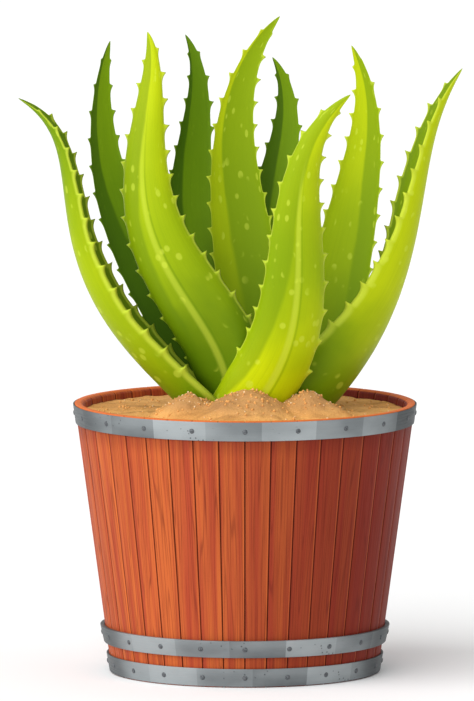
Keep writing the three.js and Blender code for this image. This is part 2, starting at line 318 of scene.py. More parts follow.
def wood_finish(name, pale, deep, red, dark):
    """Stave wood: U runs across each stave on its own stretch, V up it.

    Fine grain is noise drawn out along V, and the figure is the contour lines of a slow noise. The
    staves on the +X side are redder as painted shade, the long edges are dark in the seam and a pale
    line runs beside one of them, a painted shadow darkens the wood below the top hoop, and the rim's
    face is pale as a painted highlight.
    """
    wood = Finish(name)
    across, up = wood.surface()
    stretch = across / STAVE_STRETCH
    board = stretch.floor()
    tone = wood.chance(board)
    # painted shade: 0 for the staves on the -X side of the tub and 1 for those on the +X side
    side = (board * STAVE_ANGLE).sine() * 0.5 + 0.5
    slow = wood.noise(wood.at(across * 45, up * 1.5, board), 1.0, 1.0)
    lines = (slow * 17).fraction().distance_from(0.5)
    figure = lines.step(0.0, 0.16, 1.0, 0.0)
    grain = wood.noise(wood.at(across * 520, up * 9, board), 1.0, 4.0, 0.6)
    streak = wood.noise(wood.at(across * 90, up * 2.2, board), 1.0, 3.0)
    body = wood.mix(streak.step(0.34, 0.66), deep, pale)
    body = wood.mix(tone * 0.45, body, deep)
    # painted shade: the staves towards the +X side are mixed towards a deeper, redder colour
    body = wood.mix(side.step(0.20, 0.95) * 0.9, body, red)
    body = wood.mix(figure * 0.45, body, dark)
    body = wood.mix(grain.step(0.48, 0.70) * 0.45, body, dark)
    place = stretch.fraction() * STAVE_STRETCH - STAVE_STRETCH / 2
    seam = place.distance_from(0.0).step(STAVE_BREADTH - 0.9 * MM, STAVE_BREADTH - 0.4 * MM)
    # a pale line beside one long edge of each stave
    worn = place.distance_from(STAVE_BREADTH - 1.7 * MM).step(0.3 * MM, 0.9 * MM, 1.0, 0.0)
    body = wood.mix(worn * 0.35, body, shaded(pale, 1.3))
    body = wood.mix(seam * 0.7, body, shaded(dark, 0.6))
    depth = TUB_HEIGHT - wood.place()[2]
    # painted shadow: a darker band on the wood below the top hoop
    hoop_shadow = depth.step(12 * MM, 20 * MM) * depth.step(22 * MM, 42 * MM, 1.0, 0.0)
    body = wood.mix(hoop_shadow * 0.35, body, dark)
    # painted highlight: the rim's top face is made paler
    rim = depth.step(1.0 * MM, 2.2 * MM, 1.0, 0.0)
    body = wood.mix(rim * 0.85, body, shaded(pale, 1.35))
    wood.bump(grain * 0.6 + lines * 0.5, 0.4 * MM, 0.4)
    wood.shader.inputs["Specular IOR Level"].default_value = 0.12
    return wood.finish(Base_Color=body, Roughness=grain.step(0.3, 0.8, 0.5, 0.72))


def board_finish(name):
    """Base board wood: grain and contour lines drawn out along Y."""
    board = Finish(name)
    x, y, z = board.place()
    grain = board.noise(board.at(x * 420, y * 9, z * 420), 1.0, 4.0, 0.6)
    figure = (board.noise(board.at(x * 22, y * 2.4, 2.0), 1.0, 2.0) * 14).fraction()
    body = board.mix(grain.step(0.35, 0.7), (0.30, 0.11, 0.045), (0.14, 0.045, 0.02))
    body = board.mix(figure.distance_from(0.5).step(0, 0.25, 0.5, 0), body, (0.08, 0.025, 0.012))
    board.bump(grain, 0.5 * MM, 0.6)
    return board.finish(Base_Color=body, Roughness=grain.step(0.3, 0.8, 0.6, 0.85))


def iron_finish(name, pale, deep):
    """Grey strap with flats in two tones, slow patches, fine scratches along it, and small pits.
    Painted shade makes it darker and less bright towards both sides of the tub."""
    iron = Finish(name)
    around, up = iron.surface()
    x, y = iron.place()[:2]
    # 0 facing the front and back of the tub and 1 facing its sides, for painted shade
    side_shade = x.distance_from(0.0) / (x * x + y * y) ** 0.5
    flats = iron.chance((around * 17 + 0.4).floor())
    patches = iron.noise(iron.at(around * 9, up * 20), 1.0, 3.0)
    brushed = iron.noise(iron.at(around * 30, up * 900), 1.0, 3.0)
    scratch = iron.noise(iron.at(around * 160 + up * 240, up * 420), 1.0, 2.0)
    pits = iron.spots(iron.at(around, up), 210.0)
    chosen = iron.noise(iron.at(around * 14, up * 60, 3.0), 1.0, 2.0)
    pit = pits.step(0.10, 0.24, 1.0, 0.0) * chosen.step(0.56, 0.62)
    body = iron.mix(patches.step(0.35, 0.65) * 0.4 + flats * 0.6, deep, pale)
    # painted shade: darker towards both sides of the tub
    body = iron.mix(side_shade.step(0.80, 0.94) * 0.75, body, shaded(deep, 0.5))
    body = iron.mix(scratch.step(0.70, 0.78) * 0.35, body, shaded(deep, 0.4))
    body = iron.mix(pit * 0.7, body, shaded(deep, 0.25))
    iron.bump(brushed * 0.25 + patches * 0.6 - pit * 0.9, 0.3 * MM, 0.6)
    roughness = brushed.step(0.3, 0.7, 0.42, 0.6)
    # painted shade: less metallic towards both sides of the tub
    metal = side_shade.step(0.80, 0.94, 0.35, 0.15)
    iron.shader.inputs["Specular IOR Level"].default_value = 0.1
    return iron.finish(Base_Color=body, Roughness=roughness, Metallic=metal)


def rivet_finish(name):
    """Darker worn iron with a fine grain."""
    iron = Finish(name)
    x, y, z = iron.place()
    grain = iron.noise(iron.at(x, y, z), 900.0, 3.0)
    body = iron.mix(grain.step(0.35, 0.7), (0.035, 0.04, 0.045), (0.12, 0.13, 0.14))
    iron.bump(grain, 0.2 * MM, 0.5)
    return iron.finish(Base_Color=body, Roughness=grain.step(0.3, 0.7, 0.45, 0.65))


HEAP_BROWN = (0.40, 0.215, 0.10)
GRIT = (0.86, 0.66, 0.40)


def soil_finish(name, pale, mid, deep):
    """Sandy soil: broad patches, drawn-out damp streaks, browner heaps, fine grains and pale grit."""
    soil = Finish(name)
    x, y, z = soil.place()
    broad = soil.noise(soil.at(x * 9, y * 22, z * 9), 1.0, 3.0)
    streak = soil.noise(soil.at(x * 16, y * 60, z * 60), 1.0, 4.0)
    grains = soil.noise(soil.at(x, y, z), 620.0, 4.0, 0.7)
    speck = soil.spots(soil.at(x, y, z), 260.0)
    body = soil.mix(broad.step(0.36, 0.6), mid, pale)
    body = soil.mix(streak.step(0.50, 0.70) * 0.5, body, deep)
    heap = z.step(TUB_HEIGHT - 5 * MM, TUB_HEIGHT + 8 * MM)
    body = soil.mix(heap * 0.55, body, HEAP_BROWN)
    body = soil.mix(grains.step(0.42, 0.72) * 0.3, body, deep)
    body = soil.mix(speck.step(0.06, 0.16, 1.0, 0.0) * 0.35, body, GRIT)
    soil.bump(grains + speck * 0.5, 1.2 * MM, 0.8)
    soil.shader.inputs["Specular IOR Level"].default_value = 0.1
    return soil.finish(Base_Color=body, Roughness=grains.step(0.2, 0.8, 0.85, 1.0))


def crumb_finish(name, pale, deep):
    """Loose crumbs, in patches of a paler and a deeper colour."""
    crumb = Finish(name)
    x, y, z = crumb.place()
    patch = crumb.noise(crumb.at(x, y, z), 130.0, 2.0)
    grains = crumb.noise(crumb.at(x, y, z), 900.0, 3.0)
    body = crumb.mix(patch.step(0.3, 0.7), deep, pale)
    crumb.bump(grains, 0.5 * MM, 0.6)
    crumb.shader.inputs["Specular IOR Level"].default_value = 0.1
    return crumb.finish(Base_Color=body, Roughness=grains.step(0.2, 0.8, 0.8, 0.95))


def leaf_finish(name, looks, edge, flecks):
    """Waxy leaf skin: U is 0 to 1 round the back, 1 to 2 over the hollow face, V is along it.

    The colour runs from foot to tip with cloudy edges. A band of painted shade lies to one side of a
    slanting line, the hollow face is darkened as painted shade, margins are paler, the midrib is a
    soft ridge made paler as a painted highlight with a painted shadow in a thin line beside it, and
    pale flecks are drawn-out Voronoi cells of which a noise picks some.
    """
    leaf = Finish(name)
    round_it, along = leaf.surface()
    across = round_it.fraction()
    cloud = leaf.noise(leaf.at(round_it * 2.0, along * 5.0, looks.seed), 1.0, 3.0)
    run = along + cloud * 0.30 - 0.15
    body = leaf.mix(run.step(0.12, 0.48), looks.foot, looks.middle)
    body = leaf.mix(run.step(0.45, 0.92), body, looks.tip)
    # painted shade: a deeper band on one side of a slanting line stands for the leaf's shaded half
    line = across - looks.band_place - (along - 0.5) * looks.band_slant - cloud * 0.10 + 0.05
    side = line.step(-0.02, 0.03) if looks.shade_band_left else line.step(-0.03, 0.02, 1.0, 0.0)
    body = leaf.mix(side * looks.band, body, looks.deep)
    # painted shade: the hollow face is made darker
    inner = round_it.step(0.99, 1.03) * round_it.step(1.97, 1.99, 1.0, 0.0)
    body = leaf.mix(inner * looks.hollow, body, looks.hollow_shade_colour)
    fibre = leaf.noise(leaf.at(round_it * 60, along * 3.0), 1.0, 3.0)
    body = leaf.mix(fibre.step(0.45, 0.75) * 0.12, body, looks.deep)
    ridge = across - looks.midrib_place - (along - 0.5) * looks.midrib_slant
    # the midrib's ridge: it raises the bump and carries a painted highlight
    rib_and_highlight = ridge.distance_from(0.0).step(0.010, 0.045, 1.0, 0.0)
    crease_shadow = ridge.distance_from(-0.045).step(0.004, 0.016, 1.0, 0.0)
    fade = along.step(0.55, 0.85, 1.0, 0.0)
    # painted highlight: the midrib's ridge is made paler
    body = leaf.mix(rib_and_highlight * fade * looks.midrib * 0.5, body, edge)
    # painted shadow: a darker line beside the midrib
    body = leaf.mix(crease_shadow * fade * looks.midrib * 0.5, body, looks.deep)
    margin = across.distance_from(0.5).step(0.415, 0.455)
    body = leaf.mix(margin * 0.55, body, edge)
    fleck = leaf.spots(leaf.at(round_it * 8, along * 27), 1.0, 0.9)
    pick = leaf.noise(leaf.at(round_it * 5, along * 11, 5.0 + looks.seed), 1.0, 1.0)
    mark = fleck.step(0.22, 0.33, 1.0, 0.0) * pick.step(0.46, 0.56)
    body = leaf.mix(mark * flecks, body, edge)
    skin = leaf.noise(leaf.at(round_it * 90, along * 160), 1.0, 3.0)
    leaf.bump(skin * 0.2 + fibre * 0.4 + mark * 0.3 + rib_and_highlight * fade * looks.midrib, 0.4 * MM, 0.5)
    leaf.shader.inputs["Specular IOR Level"].default_value = 0.08
    leaf.shader.inputs["Subsurface Weight"].default_value = 0.06
    leaf.shader.inputs["Subsurface Radius"].default_value = (0.004, 0.006, 0.001)
    return leaf.finish(Base_Color=body, Roughness=skin.step(0.3, 0.7, 0.40, 0.52))


def stem_finish(name):
    """Fibrous green-brown stem with rings."""
    stem = Finish(name)
    x, y, z = stem.place()
    rings = stem.noise(stem.at(x * 8, y * 8, z * 160), 1.0, 3.0)
    body = stem.mix(rings.step(0.35, 0.65), (0.12, 0.14, 0.04), (0.36, 0.38, 0.14))
    stem.bump(rings, 0.8 * MM, 0.6)
    return stem.finish(Base_Color=body, Roughness=rings.step(0.3, 0.7, 0.6, 0.8))


# ---- settings ------------------------------------------------------------------------------------
def length(name, description, default):
    """A length in metres."""
    return bpy.props.FloatProperty(
        name=name, description=description, default=default, unit="LENGTH", precision=4
    )


def share(name, description, default):
    """A plain number from 0 to 1."""
    return bpy.props.FloatProperty(
        name=name, description=description, default=default, min=0.0, max=1.0, subtype="FACTOR"
    )


def colour(name, description, default):
    """A colour."""
    return bpy.props.FloatVectorProperty(
        name=name, description=description, default=default, subtype="COLOR", size=3
    )


class TubSettings(bpy.types.PropertyGroup):
    thickness: length("Stave thickness", "Wall of the tub", 9.5 * MM)
    seam: length("Seam", "Gap between two staves", 0.35 * MM)
    easing: length("Easing", "Rounding of the staves' long edges", 1.1 * MM)
    chamfer: length("Chamfer", "Bevel inside the rim", 3.0 * MM)
    groove: length("Groove", "Depth of the groove for the base boards", 4.0 * MM)
    pale: colour("Pale wood", "Lightest colour of the staves", (0.53, 0.122, 0.026))
    deep: colour("Deep wood", "Body colour of the staves", (0.36, 0.052, 0.019))
    # painted shade: the colour that the staves on the +X side are mixed towards
    red: colour("Red wood", "Colour of the staves on the +X side", (0.17, 0.013, 0.007))
    dark: colour("Grain", "Colour of the grain lines", (0.11, 0.010, 0.005))


class HoopSettings(bpy.types.PropertyGroup):
    rivet_radius: length("Rivet radius", "Radius of a rivet's head", 2.7 * MM)
    rivet_rise: length("Rivet rise", "Height of a rivet's head", 1.1 * MM)
    rivets: bpy.props.IntProperty(name="Rivets", description="Rivets in each hoop", default=20)
    pale: colour("Pale iron", "Lighter patches of the straps", (0.35, 0.38, 0.39))
    deep: colour("Deep iron", "Darker patches of the straps", (0.10, 0.112, 0.118))


class SoilSettings(bpy.types.PropertyGroup):
    below_rim: length("Below rim", "Soil's level below the rim", 9.0 * MM)
    swell: length("Swell", "Rise of the soil towards the middle", 4.0 * MM)
    crumbs: bpy.props.IntProperty(name="Crumbs", description="Loose crumbs", default=420)
    granules: bpy.props.IntProperty(name="Granules", description="Pale granules", default=150)
    pale: colour("Pale soil", "Dry soil", (0.82, 0.43, 0.14))
    mid: colour("Mid soil", "Body colour of the soil", (0.68, 0.33, 0.10))
    deep: colour("Damp soil", "Damp streaks", (0.30, 0.13, 0.04))


class LeafSettings(bpy.types.PropertyGroup):
    tooth: length("Tooth", "Height of the teeth on a leaf 80 mm wide", 6.0 * MM)
    edge: length("Edge", "Half the thickness of the margins", 0.9 * MM)
    flecks: share("Flecks", "Strength of the pale flecks", 0.38)


class StageSettings(bpy.types.PropertyGroup):
    elevation: bpy.props.FloatProperty(
        name="Elevation",
        description="Camera's height above the horizon",
        default=math.radians(6.3),
        subtype="ANGLE",
    )
    distance: length("Distance", "From the camera to the object", 16.36)
    floor: colour("Floor", "Colour of the floor", (0.95, 0.95, 0.95))


SETTINGS = {
    "aloe_tub": TubSettings,
    "aloe_hoop": HoopSettings,
    "aloe_soil": SoilSettings,
    "aloe_leaf": LeafSettings,
    "aloe_stage": StageSettings,
}


# ---- tub -----------------------------------------------------------------------------------------
EDGE_PLACES = np.array([0.0, 0.12, 0.4, 1.0])  # across an eased edge, as shares of the easing
FLAT_PLACES = np.array([-0.5, 0.0, 0.5])  # across the flat between, as shares of its half width
STAVE_UNEVEN = 0.15 * MM  # how far a stave may stand in or out
HOOP_THICKNESS = {  # at the strap's lower and upper edges
    "hoop_top": (1.4 * MM, 1.4 * MM),
    "hoop_middle": (3.0 * MM, 4.6 * MM),
    "hoop_bottom": (1.6 * MM, 2.2 * MM),
}
HOOP_TURNS = 240
HOOP_WAVER = 0.12 * MM
RIVET_TURNS = 16
RIVET_SINK = 0.6 * MM


def wall_radius(height, thickness):
    """The outside of the staves at a height, on a straight slope through foot and rim."""
    foot = FOOT_RADIUS / math.cos(STAVE_ANGLE / 2) + thickness / 2
    return foot + (RIM_RADIUS - foot) * height / TUB_HEIGHT


def stave_outline(tub):
    """The stave's section up the wall, in radius and height, with a bevelled rim and a groove."""
    def inner(height):
        return wall_radius(height, tub.thickness) - tub.thickness

    low, high, top = BOARD_LOW - FIT_GAP, BOARD_TOP + FIT_GAP, TUB_HEIGHT
    corners = [
        (wall_radius(0, tub.thickness), 0),
        (wall_radius(top, tub.thickness), top),
        (inner(top) + tub.chamfer, top),
        (inner(top - tub.chamfer), top - tub.chamfer),
        (inner(high), high),
        (inner(high) + tub.groove, high),
        (inner(low) + tub.groove, low),
        (inner(low), low),
        (inner(0), 0),
    ]
    radii = np.array([1.0, 1.2, 0.8, 0.8, 0.3, 0.3, 0.3, 0.3, 1.0]) * MM
    return rounded_outline(corners, radii)


def outward(outline):
    """Unit normals of a closed outline that runs anticlockwise: its run turned a quarter right."""
    run = np.roll(outline, -1, 0) - np.roll(outline, 1, 0)
    run /= np.linalg.norm(run, axis=1)[:, None]
    return np.stack([run[:, 1], -run[:, 0]], 1)


def stave_mesh(tub, index, outline, normals, random):
    """Carries the outline through the stave's angle, drawn in near its two side faces.

    At a distance d from a side face, less than the easing e, it is drawn in by e - sqrt(e^2-(e-d)^2).
    """
    ease, edge = tub.easing, len(EDGE_PLACES)
    near = EDGE_PLACES[:, None] * ease
    drawn = (ease - np.sqrt(np.maximum(0, ease ** 2 - (ease - near) ** 2))).ravel()
    inset = np.concatenate([drawn, np.zeros(len(FLAT_PLACES)), drawn[::-1]])
    shape = outline[None] - normals[None] * inset[:, None, None]
    radius = shape[..., 0] + random.uniform(-STAVE_UNEVEN, STAVE_UNEVEN)
    height = shape[..., 1]
    half = radius * math.sin(STAVE_ANGLE / 2) - tub.seam / 2
    flat = FLAT_PLACES[:, None] * (half[edge:-edge] - ease)
    across = np.concatenate([near - half[:edge], flat, half[-edge:] - near[::-1]])
    angle = FRONT + (index + 0.5) * STAVE_ANGLE + np.arcsin(across / radius)
    rings = np.stack([radius * np.cos(angle), radius * np.sin(angle), height], -1)
    place = STAVE_STRETCH * (index + 0.5) + across / half * STAVE_BREADTH
    table = np.stack([place, height + GRAIN_SHIFT * index], -1)
    table = np.concatenate([table, table[:, :1]], 1)
    return sweep(rings, table, "flat")


def hoop_outline(node, thickness, wall):
    """The strap's section, from the frame's box: it follows the wall, and its edges are rounded."""
    bottom, top = (corner.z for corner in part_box(node))
    inside = [wall_radius(height, wall) + FIT_GAP for height in (bottom, top)]
    corners = [
        (inside[0], bottom),
        (inside[0] + thickness[0], bottom),
        (inside[1] + thickness[1], top),
        (inside[1], top),
    ]
    radii = np.array([0.3, 0.6, 0.6, 0.3]) * MM
    return rounded_outline(corners, radii, 3), corners


def hoop_mesh(outline, seed):
    """The strap's section turned about the tub, in and out by sin(7a) sin(3a) times the waver."""
    angle = np.linspace(0, 2 * math.pi, HOOP_TURNS, endpoint=False)[:, None]
    waver = HOOP_WAVER * np.sin(7 * angle + seed) * np.sin(3 * angle + 2 * seed)
    radius = outline[None, :, 0] + waver
    height = np.broadcast_to(outline[None, :, 1], radius.shape)
    rings = np.stack([radius * np.cos(angle), radius * np.sin(angle), height], -1)
    travel = np.linspace(0, 2 * math.pi * outline[:, 0].mean(), HOOP_TURNS + 1)[:, None]
    up = np.cumsum(np.linalg.norm(np.diff(outline, axis=0, prepend=outline[-1:]), axis=1))
    up = np.append(up, up[-1] + 0.5 * MM)
    table = np.stack(np.broadcast_arrays(travel, up[None]), -1)
    return sweep(rings, table, loop=True)


def rivet_mesh(hoop, corners):
    """Domes r sin(a), h cos(a) with a skirt sunk in the strap, one at the front and the rest round."""
    turn = np.linspace(0, 2 * math.pi, RIVET_TURNS, endpoint=False)
    rise = np.radians([90, 90, 75, 55, 35, 15])
    reach = hoop.rivet_radius * np.sin(rise)
    lift = hoop.rivet_rise * np.cos(rise)
    lift[0] -= RIVET_SINK
    low, high = np.array(corners[1]), np.array(corners[2])
    seat, slope = (low + high) / 2, (high - low) / np.linalg.norm(high - low)
    table = np.zeros((len(rise), RIVET_TURNS + 1, 2))
    parts = []
    for angle in FRONT + 2 * math.pi * np.arange(hoop.rivets) / hoop.rivets:
        ahead = np.array([math.cos(angle), math.sin(angle), 0])
        side = np.array([-math.sin(angle), math.cos(angle), 0])
        up = ahead * slope[0] + np.array([0, 0, slope[1]])
        out = ahead * slope[1] - np.array([0, 0, slope[0]])
        centre = ahead * seat[0] + np.array([0, 0, seat[1]])
        ring = side * np.cos(turn)[:, None] + up * np.sin(turn)[:, None]
        rings = centre + reach[:, None, None] * ring[None] + lift[:, None, None] * out
        ends = [centre + out * lift[0], centre + out * hoop.rivet_rise]
        parts.append(sweep(rings, table, ends))
    return joined(parts)


# ---- soil ----------------------------------------------------------------------------------------
# Each heap's middle in plan, its height and its reach, in millimetres.
HEAPS = [(2, -76, 29, 62), (-58, -60, 24, 36), (66, -62, 26, 42)]
HEAP_ROUNDING = 6.0
SWELL_REACH = 70 * MM
SOIL_TURNS, SOIL_RINGS = 260, 110
SOIL_FOOT_GAP = 0.6 * MM
CRUMB_TURNS = 6
CRUMB_RISE = np.radians([150, 110, 70, 30])
CRUMB_SPREAD = 0.42  # of the crumbs round a heap, as a share of its reach
CRUMB_REACH = 158 * MM  # the furthest from the middle that other crumbs start
CRUMB_LIMIT = 160 * MM  # the furthest that any is kept
CRUMB_TOP = TUB_HEIGHT + 30 * MM


def soil_height(x, y, soil):
    """Level, plus a broad swell, plus the highest of three cones h (1 - d/reach) with round tops."""
    height = np.full_like(x, TUB_HEIGHT - soil.below_rim)
    height += soil.swell * np.exp(-(x ** 2 + y ** 2) / (2 * SWELL_REACH ** 2))
    rises = [np.zeros_like(x)]
    for heap_x, heap_y, top, reach in HEAPS:
        away = np.sqrt((x / MM - heap_x) ** 2 + (y / MM - heap_y) ** 2 + HEAP_ROUNDING ** 2)
        rises.append(top * MM * (1 + (HEAP_ROUNDING - away) / reach))
    heap = np.maximum.reduce(rises)
    height += heap
    lumps = ripples(x, y, 30 * MM, SEED) * 0.9 + ripples(x, y, 11 * MM, SEED + 1) * 0.6
    lumps += ripples(x, y, 4.5 * MM, SEED + 2, 22) * 0.35
    return height + lumps * MM * (0.8 + 40 * heap)


def soil_mesh(soil, wall):
    """Rings up the soil's side and in over its top: (r cos a, r sin a, height)."""
    angle = np.linspace(0, 2 * math.pi, SOIL_TURNS, endpoint=False)[None]
    inward = np.linspace(0, 1, SOIL_RINGS, endpoint=False)[:, None]
    radius = (wall(TUB_HEIGHT - soil.below_rim) - FIT_GAP) * (1 - inward)
    x, y = radius * np.cos(angle), radius * np.sin(angle)
    top = np.stack([x, y, soil_height(x, y, soil)], -1)
    low = wall(SOIL_LOW) - SOIL_FOOT_GAP
    foot = np.stack([low * np.cos(angle), low * np.sin(angle), 0 * angle + SOIL_LOW], -1)
    rings = np.concatenate([foot, top])
    zero = np.zeros(1)
    middle = [0, 0, float(soil_height(zero, zero, soil)[0])]
    table = np.zeros((len(rings), SOIL_TURNS + 1, 2))
    return sweep(rings, table, [[0, 0, SOIL_LOW], middle])


def crumb_mesh(soil, count, small, large, seed, near_heaps):
    """Small rough balls, sunk a third into the soil: the ball's rings are sin(a), cos(a), each point
    moved by a seeded share of the radius. near_heaps is the share of them that lie by the heaps."""
    random = np.random.default_rng(seed)
    turn = np.linspace(0, 2 * math.pi, CRUMB_TURNS, endpoint=False)
    around, level = np.sin(CRUMB_RISE)[:, None], np.cos(CRUMB_RISE)[:, None]
    ball = np.stack(np.broadcast_arrays(around * np.cos(turn), around * np.sin(turn), level), -1)
    table = np.zeros((len(CRUMB_RISE), CRUMB_TURNS + 1, 2))
    parts = []
    for _ in range(count):
        if random.uniform() < near_heaps:
            heap = HEAPS[random.integers(len(HEAPS))]
            spread = random.normal(0, CRUMB_SPREAD, 2) * heap[3]
            x, y = (heap[0] + spread[0]) * MM, (heap[1] + spread[1]) * MM
        else:
            away = CRUMB_REACH * math.sqrt(random.uniform())
            angle = random.uniform(0, 2 * math.pi)
            x, y = away * math.cos(angle), away * math.sin(angle)
        size = random.uniform(small, large) * MM
        squash = random.uniform(0.7, 1.0, 3) * size
        ground = float(soil_height(np.array([x]), np.array([y]), soil)[0])
        if math.hypot(x, y) > CRUMB_LIMIT or ground + size > CRUMB_TOP:
            continue
        centre = np.array([x, y, ground + 0.3 * size])
        rings = centre + ball * squash * random.uniform(0.82, 1.15, (*ball.shape[:2], 1))
        ends = [centre - [0, 0, squash[2]], centre + [0, 0, squash[2]]]
        parts.append(sweep(rings, table, ends))
    return joined(parts)


# ---- leaves --------------------------------------------------------------------------------------
# FERN, DEEP, SHADE and SHADE_EDGE are painted shade: they colour the three back leaves darker, and
# DEEP also darkens the hollows
PALE = (0.58, 0.68, 0.06)
YELLOW = (0.52, 0.63, 0.002)
LIME = (0.45, 0.54, 0.003)
MOSS = (0.33, 0.43, 0.002)
GRASS = (0.27, 0.38, 0.002)
GREEN = (0.15, 0.26, 0.002)
FERN = (0.125, 0.23, 0.002)
DEEP = (0.095, 0.185, 0.002)
SHADE = (0.038, 0.095, 0.001)
SHADE_EDGE = (0.20, 0.32, 0.01)

TOOTH_START, TOOTH_END = 0.16, 0.96  # as shares of the leaf's length
TOOTH_CREST, TOOTH_FOOT = 0.80, 0.93  # as shares of a tooth's pitch
TOOTH_SWEEP = 0.45  # how far a tooth points to the tip, as a share of its height
FACE_SETTLED = 0.8
TOOTH_FULL = 13 * MM  # teeth are smaller where half the leaf's width is less than this
STATIONS_PER_TOOTH = 24
LEAF_WAVER = 0.5 * MM
BACK_POINTS, FACE_POINTS = 27, 21
FULL_WIDTH = 80  # the width, in millimetres, of a leaf with teeth of full height


class Looks:
    """A leaf's colours from foot to tip and in its band and hollow, both painted shade, and where its
    band and its midrib lie: each has its place across the leaf, its slant and its strength. The last
    of the band's values says on which side of its line the band is."""

    def __init__(self, foot, middle, tip, deep, band, midrib=(0.5, 0.0, 0.0), hollow=0.0):
        self.foot, self.middle, self.tip, self.deep = foot, middle, tip, deep
        self.band_place, self.band_slant, self.band, self.shade_band_left = band
        self.midrib_place, self.midrib_slant, self.midrib = midrib
        # the hollow's darker colour is painted shade
        self.hollow, self.hollow_shade_colour = hollow, DEEP
        self.seed = float(sum(foot) * 10 + self.band_place)


class Leaf:
    """A leaf's shape and looks.

    places are five points along it in millimetres, with heights counted from the rim. width is its
    broadest, keel and channel are the depths of its back and of its hollow face as shares of the
    half width, face is the direction in plan that the hollow looks to, in degrees, at the foot and
    from FACE_SETTLED up to the tip, and teeth is how many there are to a side.
    """

    def __init__(self, name, slot, places, width, keel, channel, face, teeth, looks):
        self.name, self.slot, self.places, self.width = name, slot, places, width
        self.keel, self.channel, self.face, self.teeth = keel, channel, face, teeth
        self.looks = looks


LEAVES = [
    Leaf(
        "leaf_front", "leaf_bright",
        [(-31, -26, -26), (37, -62, 66), (53, -92, 162), (61, -112, 256), (110, -122, 336)],
        width=75, keel=0.55, channel=0.15, face=(90, 90), teeth=11,
        looks=Looks(YELLOW, GRASS, LIME, GREEN, (0.55, -0.35, 0.6, True), (0.47, 0.10, 0.8)),
    ),
    Leaf(
        "leaf_front_left", "leaf_bright",
        [(-12, -18, -22), (-40, -38, 92), (-92, -48, 185), (-102, -42, 290), (-102, -25, 393)],
        width=80, keel=0.5, channel=0.15, face=(75, 75), teeth=13,
        looks=Looks(DEEP, GRASS, LIME, DEEP, (0.60, -0.30, 0.5, True), (0.52, 0.0, 0.7)),
    ),
    Leaf(
        "leaf_left", "leaf_bright",
        [(-14, -4, -22), (-80, -18, 57), (-146, -32, 146), (-176, -45, 246), (-237, -55, 326)],
        width=78, keel=0.85, channel=0.45, face=(8, -4), teeth=13,
        looks=Looks(GREEN, MOSS, GREEN, GREEN, (0.78, 0.0, 0.5, True), hollow=0.85),
    ),
    Leaf(
        "leaf_right", "leaf_bright",
        [(12, 2, -22), (91, 10, 56), (143, 28, 149), (176, 45, 251), (229, 60, 347)],
        width=86, keel=0.9, channel=0.45, face=(150, 195), teeth=13,
        looks=Looks(GREEN, LIME, LIME, GREEN, (0.22, 0.0, 0.4, False), hollow=0.85),
    ),
    Leaf(
        "leaf_right_back", "leaf_bright",
        [(16, 16, -22), (80, 42, 68), (108, 58, 170), (126, 64, 271), (112, 60, 371)],
        width=74, keel=0.5, channel=0.2, face=(-105, -105), teeth=12,
        looks=Looks(GREEN, GRASS, LIME, GREEN, (0.42, 0.2, 0.7, False)),
    ),
    Leaf(
        "leaf_centre", "leaf_bright",
        [(6, 18, -20), (8, 42, 95), (-7, 62, 199), (-8, 74, 303), (37, 80, 400)],
        width=74, keel=0.5, channel=0.2, face=(-90, -90), teeth=13,
        looks=Looks(GREEN, MOSS, LIME, GREEN, (0.66, 0.35, 0.75, False)),
    ),
    # the three back leaves are coloured darker as painted shade
    Leaf(
        "leaf_back_left", "leaf_dark",
        [(-18, 16, -22), (-74, 44, 86), (-123, 72, 174), (-149, 92, 270), (-142, 104, 372)],
        width=62, keel=0.5, channel=0.2, face=(-70, -70), teeth=12,
        looks=Looks(SHADE, DEEP, GREEN, SHADE, (0.55, 0.3, 0.8, True)),
    ),
    Leaf(
        "leaf_back", "leaf_dark",
        [(-8, 22, -22), (-32, 52, 97), (-55, 84, 190), (-51, 108, 283), (-63, 122, 377)],
        width=66, keel=0.5, channel=0.2, face=(-80, -80), teeth=12,
        looks=Looks(SHADE, FERN, DEEP, SHADE, (0.60, 0.3, 0.9, True)),
    ),
    Leaf(
        "leaf_back_right", "leaf_dark",
        [(8, 24, -22), (17, 66, 91), (25, 102, 177), (42, 128, 265), (29, 142, 351)],
        width=66, keel=0.5, channel=0.2, face=(-95, -95), teeth=11,
        looks=Looks(SHADE, FERN, GREEN, SHADE, (0.50, 0.3, 0.8, True)),
    ),
]


def leaf_line(places, t):
    """Lagrange's curve through evenly spaced places: the sum of each place times the product of
    (last t - j) / (i - j) over the others."""
    places = np.array(places, float) * MM + [0, 0, TUB_HEIGHT]
    last = len(places) - 1
    total = np.zeros((len(t), 3))
    for i, place in enumerate(places):
        weight = np.ones_like(t)
        for j in range(last + 1):
            if j != i:
                weight *= (t * last - j) / (i - j)
        total += weight[:, None] * place
    return total


def leaf_directions(places, t, face):
    """Unit vectors at t. The first is the line's slope, the second is the direction that the hollow
    looks to, less its part along the leaf, and the third is their cross product, across the leaf."""
    small = 1e-4
    along = leaf_line(places, t + small) - leaf_line(places, t - small)
    along /= np.linalg.norm(along, axis=1)[:, None]
    angle = np.radians(face[0] + (face[1] - face[0]) * smoothstep(t, 0, FACE_SETTLED))
    look = np.stack([np.cos(angle), np.sin(angle), 0 * angle], 1)
    normal = look - along * (along * look).sum(1)[:, None]
    normal /= np.linalg.norm(normal, axis=1)[:, None]
    return along, normal, np.cross(normal, along)


def leaf_half_width(width, t):
    """Half the width times (1-t)^0.68 (1 + t(1-t)), which is a point at the tip, and seven tenths of
    that at the foot."""
    foot = 0.7 + 0.3 * smoothstep(t, 0, 0.14)
    return width * MM / 2 * foot * (1 - t) ** 0.68 * (1 + t * (1 - t))


